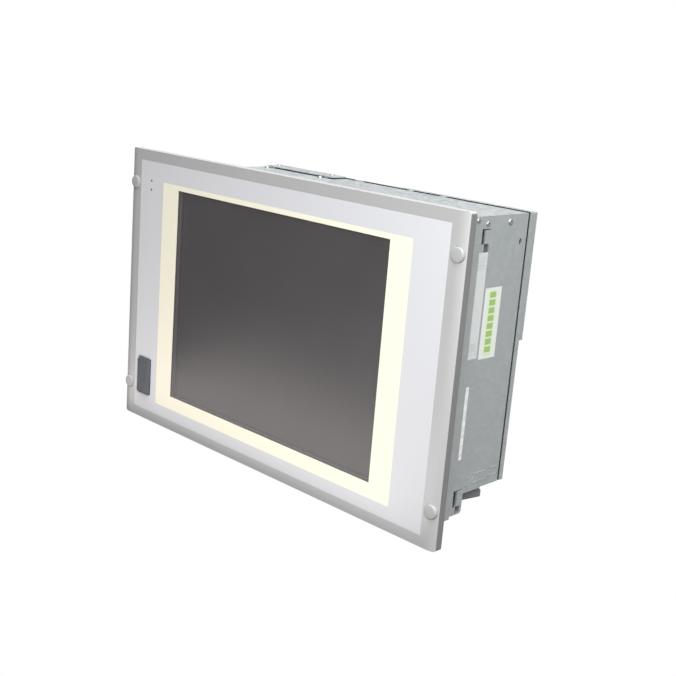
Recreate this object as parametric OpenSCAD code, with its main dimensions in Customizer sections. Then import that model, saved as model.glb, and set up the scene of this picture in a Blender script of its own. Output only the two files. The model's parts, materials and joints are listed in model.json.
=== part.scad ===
// Rack-format operator panel: touch screen front, sheet-steel front housing and offset computer unit.
// Origin at the middle of the front plate's rear (sealing) face. +X right as the operator sees it,
// +Y back into the cabinet, +Z up. Millimetres.

/* [Front plate] */
// Width of the front plate (19 inch rack format)
plate_w = 482.6; // [482:0.1:484]
// Height of the front plate (seven rack units)
plate_h = 310.3; // [309:0.1:312]
// Thickness of the front plate
plate_t = 10; // [9.5:0.5:11]
// Radius of the rolled-back left and right ends
end_r = 24; // [20:1:28]
// Radius of the plate's corners seen from the front
corner_r = 3; // [1:0.5:5]
// Thickness left in front of the rear pocket
web_t = 5.4; // [5.2:0.1:5.8]

/* [Rack slots] */
// Slot spacing across
slot_dx = 465.1; // [464:0.1:466]
// Slot spacing up
slot_dz = 234.95; // [233:0.05:236]
// Slot width
slot_w = 6.8; // [6.6:0.1:7]
// Slot length, end to end
slot_len = 10.3; // [10:0.1:10.6]
// Diameter of a cap head
cap_d = 14; // [13:0.5:14]

/* [Front foil and screen] */
// Half width of the foil
foil_x = 223.3; // [220:0.1:224]
// Upper edge of the foil
foil_top = 143.6; // [142:0.1:145]
// Lower edge of the foil
foil_bottom = -144.1; // [-145:0.1:-142]
// Half width of the screen window
window_x = 155.2; // [154.6:0.1:156]
// Half height of the screen window
window_z = 116.7; // [116:0.1:117.5]
// Height of the screen's centre above the plate's centre
screen_z = 0.9; // [0:0.1:2]
// Half width of the visible display area
active_x = 152.05; // [151.8:0.05:152.4]
// Half height of the visible display area
active_z = 114.05; // [113.8:0.05:114.4]

/* [Port cover] */
// Centre of the front port across
port_x = -204; // [-204.5:0.1:-203.5]
// Centre of the front port up
port_z = -103.5; // [-105:0.1:-102]
// Width of the port cover
cover_w = 22; // [22:0.5:22.5]
// Height of the port cover
cover_h = 44; // [43:0.5:46]

/* [Housings] */
// Half width of the front housing
house_x = 212; // [211.5:0.1:212.5]
// Half height of the front housing
house_z = 144.3; // [144:0.1:144.6]
// Depth of the front housing
house_d = 63; // [62.5:0.1:64]
// Sheet thickness of the housings
sheet = 1.5; // [1.2:0.1:1.8]
// Left side of the computer unit
unit_left = -139; // [-141:0.5:-137]
// Underside of the computer unit
unit_bottom = -123.5; // [-124.5:0.5:-123]
// Depth of the computer unit's rear edge
unit_rear = 117.4; // [117:0.1:118]
// Depth of the rear cover's outer face
cover_rear = 126.3; // [126:0.1:127]
// Left side of the raised bay cover
bay_left = 43; // [40:1:46]
// Lower edge of the raised bay cover
bay_bottom = 19; // [17:1:22]
// Depth of the raised bay cover's outer face
bay_rear = 133.5; // [132:0.5:136]

/* [Processor fan] */
// Outer size of the square fan frame
fan_size = 60; // [60:1:62]
// Number of fan blades
fan_blades = 7; // [5:1:9]

/* [Hidden] */

smooth = 48;
front_y = -plate_t;
recess_d = 0.5;
foil_y = front_y + recess_d;
touch_back = foil_y + 2.6;
web_y = front_y + web_t;
gasket_t = 1;
bezel_y = web_y + gasket_t;
lcd_y = bezel_y + 0.5;
lcd_back = lcd_y + 10.6;
carrier_y = lcd_back + 0.4;
seal_d = 1.5;
seal_proud = 1;
cap_seat = 2;
slot_r = slot_w / 2;
slot_c = slot_len / 2 - slot_r;

pin_r = 0.8;
cover_left = port_x - cover_w / 2;
cover_right = port_x + cover_w / 2;
cover_low = port_z - cover_h / 2;
cover_top = port_z + cover_h / 2;
knuckle_r = 1.6;
hinge_x = cover_left + knuckle_r;
hinge_y = front_y - 2;
cover_back = hinge_y + knuckle_r;
cover_front = hinge_y - knuckle_r;
lug_offset = 17.5;
lug_h = 3;
led_z = [122, 112.1];

board_y = 68;
fan_c = [0, 100, 30];
fan_y0 = 100;
fan_y1 = 113;
inlet_c = [193.5, 79];
switch_c = [163, 79];
reset_c = [-112, 76];
stud_c = [-126, 95];
slots_z = [-20, 100];
slot_y = [76, 97];
seam_w = 3;
brace_z = [-66, 20, 105];
top_screw_x = [-127, -42];
top_screw_y = [91.5, 110];
latch_x = [65, 108];
cover_screw_xz = [[-132, 137], [-132, 10], [-132, -116], [36, -116], [205, -116], [205, 10]];

// Box between two corners
module box(x0, x1, y0, y1, z0, z1) {
    translate([x0, y0, z0]) cube([x1 - x0, y1 - y0, z1 - z0]);
}

// Round bar along X, Y or Z
module bar_x(y, z, x0, x1, r) {
    translate([x0, y, z]) rotate([0, 90, 0]) cylinder(r = r, h = x1 - x0, $fn = smooth);
}

module bar_y(x, z, y0, y1, r) {
    translate([x, y0, z]) rotate([-90, 0, 0]) cylinder(r = r, h = y1 - y0, $fn = smooth);
}

module bar_z(x, y, z0, z1, r) {
    translate([x, y, z0]) cylinder(r = r, h = z1 - z0, $fn = smooth);
}

// Slab lying in the XZ plane with round corners
module round_slab(x0, x1, y0, y1, z0, z1, r) {
    box(x0 + r, x1 - r, y0, y1, z0, z1);
    box(x0, x1, y0, y1, z0 + r, z1 - r);
    for (x = [x0 + r, x1 - r], z = [z0 + r, z1 - r]) bar_y(x, z, y0, y1, r);
}

// Slot through the plate, long way across
module rack_slot(x, z, y0, y1, r, c) {
    box(x - c, x + c, y0, y1, z - r, z + r);
    for (s = [-1, 1]) bar_y(x + s * c, z, y0, y1, r);
}

// ---- front ----

module front_plate() {
    flat_x = plate_w / 2 - sqrt(pow(end_r, 2) - pow(end_r - 2.6, 2));
    color([0.74, 0.75, 0.75]) difference() {
        intersection() {
            round_slab(-plate_w / 2, plate_w / 2, front_y, 0, -plate_h / 2, plate_h / 2, corner_r);
            union() {
                box(-flat_x, flat_x, front_y, 0, -plate_h / 2, plate_h / 2);
                for (s = [-1, 1])
                    bar_z(s * flat_x, front_y + end_r, -plate_h / 2, plate_h / 2, end_r);
            }
        }
        // recess for the foil, seat and opening for the touch glass, rear pocket
        box(-foil_x - 0.2, foil_x + 0.2, front_y - 1, foil_y, foil_bottom - 0.2, foil_top + 0.2);
        box(-162, 162, foil_y - 1, touch_back, screen_z - 123.5, screen_z + 123.5);
        box(-window_x + 1, window_x - 1, front_y - 1, 1, screen_z - window_z + 1,
            screen_z + window_z - 1);
        box(-206, 206, web_y, 1, -138, 138);
        // port cut-out and light guide holes
        box(port_x - 11.2, port_x + 11.2, front_y - 1, 1, port_z - 21.2, port_z + 21.2);
        for (z = led_z) bar_y(port_x, z, front_y - 1, 1, 1.4);
        // rack slots with seats for the caps
        for (x = [-1, 1], z = [-1, 1]) {
            rack_slot(x * slot_dx / 2, z * slot_dz / 2, front_y - 1, 1, slot_r, slot_c);
            bar_y(x * slot_dx / 2, z * slot_dz / 2, front_y - 1, front_y + cap_seat,
                cap_d / 2 + 0.2);
        }
        // groove for the seal
        difference() {
            box(-240, 240, -seal_d, 1, -153.4, 153.4);
            box(-226, 226, -seal_d - 1, 2, -148, 148);
        }
        // tapped holes for the housing screws
        for (x = [-1, 1], z = brace_z) bar_y(x * 208, z, -6, 1, 1.45);
    }
}

module front_foil() {
    color([0.88, 0.9, 0.92]) difference() {
        box(-foil_x, foil_x, front_y + 0.05, foil_y, foil_bottom, foil_top);
        box(-window_x, window_x, front_y - 1, foil_y + 1, screen_z - window_z,
            screen_z + window_z);
        box(port_x - 11.2, port_x + 11.2, front_y - 1, 1, port_z - 21.2, port_z + 21.2);
        for (z = led_z) bar_y(port_x, z, front_y - 1, 1, 1.4);
    }
}

module touch_glass() {
    color([0.35, 0.35, 0.36]) box(-160.5, 160.5, foil_y, touch_back, screen_z - 122, screen_z + 122);
}

module screen_gasket() {
    color([0.15, 0.15, 0.15]) difference() {
        box(-163, 163, web_y, bezel_y, screen_z - 126, screen_z + 126);
        box(-window_x + 0.8, window_x - 0.8, web_y - 1, bezel_y + 1, screen_z - window_z + 0.8,
            screen_z + window_z - 0.8);
    }
}

module lcd_bezel() {
    color([0.6, 0.6, 0.62]) difference() {
        box(-163.3, 163.3, bezel_y, lcd_y, screen_z - 126.8, screen_z + 126.8);
        box(-active_x, active_x, bezel_y - 1, lcd_y + 1, screen_z - active_z, screen_z + active_z);
    }
}

module lcd_panel() {
    color([0.2, 0.2, 0.22]) box(-163, 163, lcd_y, lcd_back, screen_z - 126.5, screen_z + 126.5);
}

module screen_carrier() {
    color([0.7, 0.72, 0.73]) union() {
        difference() {
            box(-176, 176, carrier_y, carrier_y + 1.2, -134, 134);
            box(-120, 120, carrier_y - 1, carrier_y + 3, -70, 80);
        }
        for (x = [-171, 171], z = [-124, 0, 124])
            box(x - 5, x + 5, web_y, carrier_y, z - 5, z + 5);
    }
}

module backlight_inverter() {
    color([0.1, 0.4, 0.2]) union() {
        box(-65, 65, carrier_y + 4, carrier_y + 5.6, 88, 116);
        for (x = [-45, 45]) box(x - 14, x + 14, carrier_y + 5.6, carrier_y + 14, 94, 110);
        for (x = [-58, 58]) bar_y(x, 102, carrier_y + 1.2, carrier_y + 4, 3);
    }
}

module touch_controller() {
    color([0.1, 0.35, 0.25]) union() {
        box(130, 170, carrier_y + 4, carrier_y + 5.6, -40, 40);
        box(142, 158, carrier_y + 5.6, carrier_y + 8, -8, 8);
        for (z = [-34, 34]) bar_y(150, z, carrier_y + 1.2, carrier_y + 4, 3);
    }
}

module panel_seal() {
    color([0.12, 0.12, 0.12]) difference() {
        box(-239.8, 239.8, -seal_d, seal_proud, -153.2, 153.2);
        box(-226.2, 226.2, -seal_d - 1, 2, -148.2, 148.2);
        for (x = [-1, 1], z = [-1, 1])
            rack_slot(x * slot_dx / 2, z * slot_dz / 2, -seal_d - 1, 2, slot_r + 0.8, slot_c);
    }
}

// One cap: domed head in its seat, two legs in the ends of the slot
module rack_cap(x, z) {
    bar_y(x, z, front_y - 1.2, front_y + cap_seat, cap_d / 2);
    bar_y(x, z, front_y - 1.8, front_y - 1.2, cap_d / 2 - 0.8);
    for (s = [-1, 1])
        box(x + s * 4 - 0.7, x + s * 4 + 0.7, front_y + cap_seat, -2, z - 1.2, z + 1.2);
}

module rack_hole_caps() {
    color([0.78, 0.79, 0.8]) for (x = [-1, 1], z = [-1, 1])
        rack_cap(x * slot_dx / 2, z * slot_dz / 2);
}

module led_lenses() {
    color([0.5, 0.8, 0.5]) for (z = led_z) bar_y(port_x, z, front_y + 0.05, web_y + 0.6, 1.3);
}

module led_board() {
    color([0.1, 0.4, 0.2]) union() {
        box(-205.5, -186, web_y + 1.4, web_y + 3, 104, 130);
        for (z = led_z) bar_y(port_x, z, web_y + 0.7, web_y + 1.4, 1);
    }
}

// ---- front port ----

// Rounded lug that holds one end of the hinge pin
module hinge_lug(z) {
    bar_z(hinge_x, hinge_y, z - lug_h / 2, z + lug_h / 2, knuckle_r);
    box(hinge_x - knuckle_r, hinge_x + knuckle_r, hinge_y, front_y + 0.3, z - lug_h / 2,
        z + lug_h / 2);
}

module usb_bezel() {
    color([0.3, 0.32, 0.34]) difference() {
        union() {
            box(port_x - 11, port_x + 11, front_y + 0.05, -0.5, port_z - 21, port_z + 21);
            for (s = [-1, 1]) hinge_lug(port_z + s * lug_offset);
        }
        box(port_x - 3.4, port_x + 3.4, front_y - 1, 1, port_z - 7.3, port_z + 7.3);
        bar_z(hinge_x, hinge_y, port_z - 22, port_z + 22, pin_r + 0.02);
    }
}

module front_usb_socket() {
    color([0.75, 0.76, 0.78]) union() {
        difference() {
            box(port_x - 3.3, port_x + 3.3, front_y + 0.4, 8, port_z - 7.1, port_z + 7.1);
            box(port_x - 2.6, port_x + 2.6, front_y - 1, 2, port_z - 6.3, port_z + 6.3);
        }
        box(port_x + 0.5, port_x + 2.4, front_y + 1, 2.2, port_z - 5.6, port_z + 5.6);
    }
}

module usb_hinge_pin() {
    color([0.8, 0.8, 0.82]) bar_z(hinge_x, hinge_y, port_z - 20.5, port_z + 20.5, pin_r);
}

module usb_cover() {
    color([0.36, 0.38, 0.4]) difference() {
        union() {
            intersection() {
                // bevelled section seen from above, and from the side
                translate([0, 0, cover_low]) linear_extrude(cover_h) polygon([
                    [hinge_x, cover_back], [cover_right, cover_back],
                    [cover_right, cover_back - 0.5], [cover_right - 2.4, cover_front],
                    [hinge_x, cover_front]
                ]);
                translate([cover_left, 0, 0]) rotate([90, 0, 90]) linear_extrude(cover_w) polygon([
                    [cover_back, cover_low], [cover_back, cover_top],
                    [cover_back - 0.5, cover_top], [cover_front, cover_top - 4],
                    [cover_front, cover_low + 2], [cover_back - 0.5, cover_low]
                ]);
            }
            bar_z(hinge_x, hinge_y, cover_low + 2, cover_top - 4, knuckle_r);
            // slanting finger ridge
            translate([port_x + 5.2, cover_front, port_z - 0.5]) rotate([0, 10, 0])
                box(-1, 1, -0.8, 0.4, -11, 11);
        }
        for (s = [-1, 1])
            box(cover_left - 1, hinge_x + 2.1, cover_front - 1, cover_back + 1,
                port_z + s * lug_offset - lug_h / 2 - 0.4, port_z + s * lug_offset + lug_h / 2 + 0.4);
        bar_z(hinge_x, hinge_y, cover_low - 1, cover_top + 1, pin_r + 0.06);
        box(port_x - 6, port_x + 6, cover_back - 0.8, cover_back + 1, port_z - 10, port_z + 10);
    }
}

module usb_cover_seal() {
    color([0.1, 0.1, 0.1]) difference() {
        box(port_x - 5.9, port_x + 5.9, cover_back - 0.8, cover_back, port_z - 9.9, port_z + 9.9);
        box(port_x - 4.2, port_x + 4.2, cover_back - 1, cover_back + 1, port_z - 8, port_z + 8);
    }
}

// ---- front housing ----

// Stepped clamp window in a side wall: narrow slot beside the tab, square hole beyond it.
// up is 1 where the square hole lies above the narrow slot and -1 where it lies below.
module clamp_window(side, z_slot, slot_h, z_hole, hole_h) {
    x = side * house_x;
    box(x - 4, x + 4, 48.9, 60.9, z_slot + slot_h - 1.1, z_slot + slot_h);
    box(x - 4, x + 4, 48.9, 53.4, z_slot, z_slot + slot_h);
    box(x - 4, x + 4, 53.3, 60.1, z_hole, z_hole + hole_h);
}

module front_housing() {
    color([0.62, 0.66, 0.67]) difference() {
        union() {
            box(-house_x, house_x, 0, house_d, -house_z, house_z);
            box(-house_x, house_x, 0.2, 45.6, -house_z - 2.7, -house_z);
        }
        box(-house_x + sheet, house_x - sheet, -1, house_d - sheet, -house_z + sheet,
            house_z - sheet);
        for (side = [-1, 1]) {
            clamp_window(side, 118.5, 14.2, 111, 7.6);
            clamp_window(side, -136.2, 17, -143, 7);
        }
        // bevel along the lower rear edge
        translate([0, house_d, -house_z]) rotate([45, 0, 0])
            cube([2 * house_x + 2, 2.8, 2.8], center = true);
        // lead-through to the computer unit
        box(-60, 60, house_d - 4, house_d + 1, -40, 40);
    }
}

// Welded tongues the mounting clamps hook on
module clamp_tabs() {
    color([0.72, 0.75, 0.76]) for (side = [-1, 1]) {
        translate([side * (house_x + 0.4), 0, 0]) {
            box(-0.4, 0.4, 53.7, 58.8, 119.2, 131.4);
            box(-0.4, 0.4, 53.7, 62.2, -135.4, -120.5);
        }
    }
}

module housing_screws() {
    color([0.8, 0.8, 0.8]) for (x = [-1, 1], z = brace_z) {
        bar_y(x * 207.2, z, 1.5, 3.1, 2.8);
        bar_y(x * 208, z, -5.5, 1.5, 1.4);
        // corner bracket under the screw, against the housing wall
        difference() {
            box(x * 207.2 - 3.2, x * 207.2 + 3.2, 0.05, 1.5, z - 8, z + 8);
            bar_y(x * 208, z, -1, 2, 1.35);
        }
    }
}

// ---- computer unit ----

module computer_housing() {
    top = house_z;
    color([0.6, 0.65, 0.67]) difference() {
        union() {
            box(unit_left, house_x, house_d, unit_rear, unit_bottom, top);
            // folded lip below the right wall
            box(house_x - sheet, house_x, house_d, 90, unit_bottom - 0.9, unit_bottom + 1);
        }
        box(unit_left + sheet, house_x - sheet, house_d + sheet, unit_rear + 1,
            unit_bottom + sheet, top - sheet);
        // lead-through to the front housing
        box(-60, 60, house_d - 1, house_d + 4, -40, 40);
        // interface opening, inlet, switch, reset button and earth stud in the underside
        box(-100, 128, 67, 90, unit_bottom - 1, unit_bottom + 4);
        box(inlet_c[0] - 9, inlet_c[0] + 9, inlet_c[1] - 12, inlet_c[1] + 12, unit_bottom - 1,
            unit_bottom + 4);
        box(switch_c[0] - 7, switch_c[0] + 7, switch_c[1] - 10, switch_c[1] + 10,
            unit_bottom - 1, unit_bottom + 4);
        bar_z(reset_c[0], reset_c[1], unit_bottom - 1, unit_bottom + 4, 2.4);
        bar_z(stud_c[0], stud_c[1], unit_bottom - 1, unit_bottom + 4, 2.6);
        // two expansion slots in the left wall
        for (y = slot_y)
            box(unit_left - 1, unit_left + 4, y - 7, y + 7, slots_z[0] + 4, slots_z[1] - 6);
        // air slots in the underside and the left wall
        for (x = [-90:12:126])
            box(x - 1.5, x + 1.5, 97, 113, unit_bottom - 1, unit_bottom + 4);
        for (z = [-110:9:-38])
            box(unit_left - 1, unit_left + 4, 78, 106, z - 1.5, z + 1.5);
        // small upright gauge hole in the right wall
        for (z = [116.8, 119]) bar_x(108.9, z, house_x - 4, house_x + 1, 1.8);
        box(house_x - 4, house_x + 1, 107.1, 110.7, 116.8, 119);
        // screw holes
        for (x = top_screw_x, y = top_screw_y) bar_z(x, y, top - 4, top + 1, 1.5);
        bar_x(89.7, 137.4, house_x - 4, house_x + 1, 1.5);
    }
}

module slot_cover() {
    color([0.8, 0.82, 0.83]) difference() {
        union() {
            box(-132.5, -28, 96.5, unit_rear - 0.6, house_z + 1.4, house_z + 2.4);
            for (x = top_screw_x, y = [101.5, top_screw_y[1]]) bar_z(x, y, house_z, house_z + 1.5, 3.4);
        }
        for (x = top_screw_x) bar_z(x, top_screw_y[1], house_z - 1, house_z + 3, 1.5);
    }
}

module top_screws() {
    y = top_screw_y;
    color([0.82, 0.82, 0.82]) for (x = top_screw_x) {
        bar_z(x, y[0], house_z, house_z + 1.8, 3);
        bar_z(x, y[0], house_z - 6, house_z, 1.4);
        bar_z(x, y[1], house_z + 2.4, house_z + 3.3, 2.8);
        bar_z(x, y[1], house_z - 6, house_z + 2.4, 1.4);
    }
}

module side_screws() {
    color([0.85, 0.85, 0.86]) union() {
        bar_x(89.7, 137.4, house_x, house_x + 1.4, 3);
        bar_x(89.7, 137.4, house_x - 6, house_x, 1.4);
        for (yz = [[41.5, 140.6], [55.9, 137.3]])
            bar_x(yz[0], yz[1], house_x, house_x + 1.3, 2.4);
    }
}

module rear_cover() {
    color([0.58, 0.62, 0.64]) difference() {
        union() {
            box(unit_left, house_x, unit_rear + seam_w, cover_rear, unit_bottom, house_z);
            // set-back rim that closes the seam
            box(unit_left + 2, house_x - 2, unit_rear - 4, unit_rear + seam_w + 0.1, unit_bottom + 2,
                house_z - 2);
        }
        box(unit_left + 3.2, house_x - 3.2, unit_rear - 5, cover_rear - sheet, unit_bottom + 3.2,
            house_z - 3.2);
        // notch in the upper right corner beside the seam
        box(house_x - 2, house_x + 1, unit_rear, unit_rear + seam_w + 1.6, house_z - 1.8, house_z + 1);
        // fan grille: slots round the fan axis
        for (i = [0:11]) translate([fan_c[0], 0, fan_c[2]]) rotate([0, i * 30, 0])
            box(10, 26, cover_rear - 4, cover_rear + 1, -1.6, 1.6);
        // air slots low on the cover
        for (z = [-100:9:-10]) box(60, 170, cover_rear - 4, cover_rear + 1, z - 1.5, z + 1.5);
        // opening that lets the disk stand into the bay
        box(104, 186, cover_rear - 4, cover_rear + 1, 30, 138);
        for (xz = cover_screw_xz) bar_y(xz[0], xz[1], cover_rear - 4, cover_rear + 1, 1.5);
    }
}

module rear_cover_screws() {
    color([0.85, 0.85, 0.86]) for (xz = cover_screw_xz) {
        bar_y(xz[0], xz[1], cover_rear, cover_rear + 1.6, 2.8);
        bar_y(xz[0], xz[1], cover_rear - 5, cover_rear, 1.4);
    }
}

module bay_cover() {
    color([0.6, 0.64, 0.66]) difference() {
        box(bay_left, house_x - 1, cover_rear, bay_rear, bay_bottom, house_z);
        box(bay_left + sheet, house_x - 1 - sheet, cover_rear - 1, bay_rear - sheet,
            bay_bottom + sheet, house_z - sheet);
        for (x = [64:14:190]) box(x - 4, x + 4, bay_rear - 4, bay_rear + 1, 124, 127);
    }
}

// Black foam in the seam between unit and rear cover, standing proud along the top
module cover_gasket() {
    y0 = unit_rear + 0.1;
    y1 = unit_rear + seam_w - 0.1;
    color([0.1, 0.1, 0.1]) difference() {
        union() {
            box(unit_left + 0.5, house_x - 0.5, y0, y1, unit_bottom + 0.5, house_z - 0.5);
            box(-133, -17, y0, y1, house_z - 1, house_z + 0.8);
            box(-3, house_x - 0.4, y0, y1, house_z - 1, house_z + 0.8);
        }
        box(unit_left + 1.95, house_x - 1.95, y0 - 1, y1 + 1, unit_bottom + 1.95, house_z - 1.95);
        for (x = latch_x) box(x - 3.2, x + 3.2, y0 - 1, y1 + 1, house_z - 0.05, house_z + 2);
    }
}

// Snap tabs over the seam at the top
module cover_latches() {
    color([0.75, 0.77, 0.78]) for (x = latch_x)
        box(x - 3, x + 3, unit_rear - 3, cover_rear - 2, house_z, house_z + 0.8);
}

// ---- inside the computer unit ----

module mainboard() {
    color([0.1, 0.35, 0.2]) difference() {
        box(-110, 136, board_y, board_y + 1.6, unit_bottom + 5, 110);
        for (x = [-104, 130], z = [-112, 104]) bar_y(x, z, board_y - 1, board_y + 3, 1.8);
    }
}

module processor_heatsink() {
    color([0.78, 0.79, 0.8]) union() {
        box(fan_c[0] - 32, fan_c[0] + 32, board_y + 4, board_y + 9, fan_c[2] - 32, fan_c[2] + 32);
        box(fan_c[0] - 14, fan_c[0] + 14, board_y + 1.6, board_y + 4, fan_c[2] - 14, fan_c[2] + 14);
        for (i = [0:12]) translate([fan_c[0] - 32 + i * 5.22, 0, fan_c[2] - 32])
            box(0, 1.3, board_y + 9, fan_y0 - 0.2, 0, 64);
    }
}

module fan_frame() {
    half = fan_size / 2;
    color([0.14, 0.14, 0.15]) union() {
        difference() {
            box(fan_c[0] - half, fan_c[0] + half, fan_y0, fan_y1, fan_c[2] - half, fan_c[2] + half);
            bar_y(fan_c[0], fan_c[2], fan_y0 - 1, fan_y1 + 1, half - 1.2);
        }
        bar_y(fan_c[0], fan_c[2], fan_y0, fan_y0 + 1.6, 12);
        for (a = [45, 135, 225, 315]) translate([fan_c[0], 0, fan_c[2]]) rotate([0, a, 0])
            box(11, half - 0.5, fan_y0, fan_y0 + 1.6, -1.2, 1.2);
        bar_y(fan_c[0], fan_c[2], fan_y0 + 1.6, fan_y1 - 4, 1.5);
    }
}

module fan_rotor() {
    color([0.2, 0.2, 0.21]) difference() {
        union() {
            bar_y(fan_c[0], fan_c[2], fan_y0 + 2.2, fan_y1 - 0.8, 11.5);
            for (i = [0:fan_blades - 1]) translate([fan_c[0], (fan_y0 + fan_y1) / 2 + 0.7, fan_c[2]])
                rotate([0, i * 360 / fan_blades, 0]) rotate([35, 0, 0])
                    box(11, fan_size / 2 - 2.5, -0.6, 0.6, -7, 7);
        }
        bar_y(fan_c[0], fan_c[2], fan_y0 + 1, fan_y1 - 3.5, 1.55);
    }
}

module memory_module() {
    color([0.1, 0.3, 0.2]) union() {
        box(90, 126, board_y + 1.6, board_y + 6, 30, 98);
        box(94, 122, board_y + 6, board_y + 7.2, 34, 94);
    }
}

module backup_battery() {
    color([0.8, 0.8, 0.82]) bar_y(-70, 80, board_y + 1.6, board_y + 6.6, 10);
}

module riser_board() {
    color([0.1, 0.35, 0.2]) union() {
        box(-40, -38.4, board_y + 1.6, 112, -15, 95);
        for (y = slot_y) box(-48, -40, y - 5, y + 5, 0, 84);
    }
}

// Blank expansion slot plates against the inner side of the left wall
module slot_plates() {
    x0 = unit_left + sheet;
    color([0.83, 0.84, 0.85]) for (y = slot_y)
        box(x0, x0 + 1, y - 9.2, y + 9.2, slots_z[0], slots_z[1] - 2);
}

// ---- interfaces in the underside ----

module io_plate() {
    z0 = unit_bottom + 0.4;
    color([0.8, 0.81, 0.82]) difference() {
        box(-99.8, 127.8, 67.2, 89.8, z0, z0 + 0.8);
        box(-20.4, 20.4, 69.3, 81.7, z0 - 1, z0 + 2);
        for (x = [46, 66]) box(x - 8.4, x + 8.4, 69.5, 83.7, z0 - 1, z0 + 2);
        box(89.2, 122.8, 69.5, 82.7, z0 - 1, z0 + 2);
        for (x = [-82, -52]) box(x - 7.3, x + 7.3, 69.5, 86.2, z0 - 1, z0 + 2);
    }
}

// Double USB-A receptacle with two sockets, mouths down
module usb_stack(x) {
    z0 = unit_bottom - 1;
    difference() {
        box(x - 7, x + 7, board_y + 1.6, board_y + 18, z0, z0 + 18);
        for (y = [74, 81.8]) box(x - 6.3, x + 6.3, y - 2.6, y + 2.6, z0 - 1, z0 + 10);
    }
    for (y = [74, 81.8]) box(x - 5.6, x + 5.6, y + 0.4, y + 2.3, z0 + 1, z0 + 11);
}

module usb_stacks() {
    color([0.76, 0.77, 0.79]) for (x = [-82, -52]) usb_stack(x);
}

// Digital display receptacle, screw posts either side
module display_port() {
    z0 = unit_bottom;
    color([0.85, 0.85, 0.86]) union() {
        box(-20, 20, board_y + 1.6, board_y + 13.4, z0 + 1.4, z0 + 14);
        box(-12.6, 12.6, board_y + 3.4, board_y + 11.6, z0 - 5, z0 + 1.6);
        for (x = [-16.5, 16.5]) bar_z(x, board_y + 7.5, z0 - 4, z0 + 1.6, 2.3);
    }
}

module network_jacks() {
    z0 = unit_bottom - 1;
    color([0.78, 0.79, 0.8]) for (x = [46, 66]) difference() {
        box(x - 8, x + 8, board_y + 1.6, board_y + 15.4, z0, z0 + 18);
        box(x - 6, x + 6, board_y + 3.4, board_y + 11, z0 - 1, z0 + 13);
    }
}

// Nine-way serial plug: shell round a hollow, screw posts either side
module serial_port() {
    z0 = unit_bottom;
    color([0.85, 0.85, 0.86]) union() {
        box(89.6, 122.4, board_y + 1.8, board_y + 14.4, z0 + 1.4, z0 + 12);
        difference() {
            box(97.2, 114.8, board_y + 3.6, board_y + 12.6, z0 - 6, z0 + 1.6);
            box(98, 114, board_y + 4.4, board_y + 11.8, z0 - 7, z0 + 0.4);
        }
        for (x = [93, 119]) bar_z(x, board_y + 8.1, z0 - 4, z0 + 1.6, 2.3);
    }
}

module reset_button() {
    color([0.7, 0.15, 0.12]) union() {
        bar_z(reset_c[0], reset_c[1], unit_bottom - 1.6, unit_bottom + 2.2, 2);
        bar_z(reset_c[0], reset_c[1], unit_bottom + 2.2, unit_bottom + 3.2, 3.4);
    }
}

module power_supply() {
    color([0.7, 0.72, 0.73]) difference() {
        box(140, 208, 66, 112, -96, 14);
        for (z = [-80:10:0]) box(139, 160, 72, 106, z - 1.5, z + 1.5);
    }
}

// Appliance inlet: shroud with a lead guard behind it below the unit, body inside
module power_inlet() {
    x = inlet_c[0];
    y = inlet_c[1];
    color([0.33, 0.34, 0.37]) difference() {
        union() {
            // lead guard, its outer and rear edges bevelled at the top
            hull() {
                translate([x, y, unit_bottom - 12.5]) linear_extrude(6.8) polygon([
                    [-10, -13.5], [10.2, -13.5], [15.9, 16.6], [15, 17.4], [-10, 17.4]
                ]);
                translate([x, y, unit_bottom - 1]) linear_extrude(1) polygon([
                    [-10, -13.5], [9, -13.5], [13.1, 11.6], [-10, 11.6]
                ]);
            }
            box(x - 8.8, x + 8.8, y - 11.8, y + 11.8, unit_bottom - 0.1, unit_bottom + 12);
        }
        box(x - 7.8, x + 7.8, y - 11, y + 9, unit_bottom - 14, unit_bottom + 6);
    }
}

module inlet_pins() {
    x = inlet_c[0] + 4;
    y = inlet_c[1] - 1;
    color([0.8, 0.8, 0.82]) for (d = [[-7, 0], [0, 2], [7, 0]])
        box(x + d[1] - 2, x + d[1], y + d[0] - 1.9, y + d[0] + 1.9, unit_bottom - 7, unit_bottom + 6);
}

module switch_frame() {
    x = switch_c[0];
    y = switch_c[1];
    color([0.12, 0.12, 0.13]) difference() {
        union() {
            box(x - 8.5, x + 8.5, y - 11.5, y + 11.5, unit_bottom - 2, unit_bottom);
            box(x - 6.8, x + 6.8, y - 9.8, y + 9.8, unit_bottom - 0.1, unit_bottom + 14);
        }
        box(x - 5.6, x + 5.6, y - 8.6, y + 8.6, unit_bottom - 3, unit_bottom + 9);
        bar_x(y, unit_bottom + 1.5, x - 6.5, x + 6.5, 1.05);
    }
}

// Rocker: shallow V across its face, tilted about a pin along X
module power_rocker() {
    x = switch_c[0];
    y = switch_c[1];
    z = unit_bottom + 1.5;
    color([0.1, 0.1, 0.11]) union() {
        translate([x - 5.2, y, z]) rotate([8, 0, 0]) rotate([90, 0, 90]) linear_extrude(10.4) polygon([
            [-7.6, -3.6], [0, -2.4], [7.6, -3.6], [7.2, 1.4], [2, 3.6], [-2, 3.6], [-7.2, 1.4]
        ]);
        bar_x(y, z, x - 6.3, x + 6.3, 1);
    }
}

module earth_stud() {
    color([0.85, 0.75, 0.4]) union() {
        bar_z(stud_c[0], stud_c[1], unit_bottom - 14, unit_bottom - 2, 2.5);
        translate([stud_c[0], stud_c[1], unit_bottom - 2]) cylinder(r = 4.6, h = 2, $fn = 6);
        bar_z(stud_c[0], stud_c[1], unit_bottom, unit_bottom + 4, 2.5);
    }
}

module hard_disk() {
    color([0.6, 0.61, 0.63]) box(110, 180, 117, 126.5, 34, 134);
}

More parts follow.
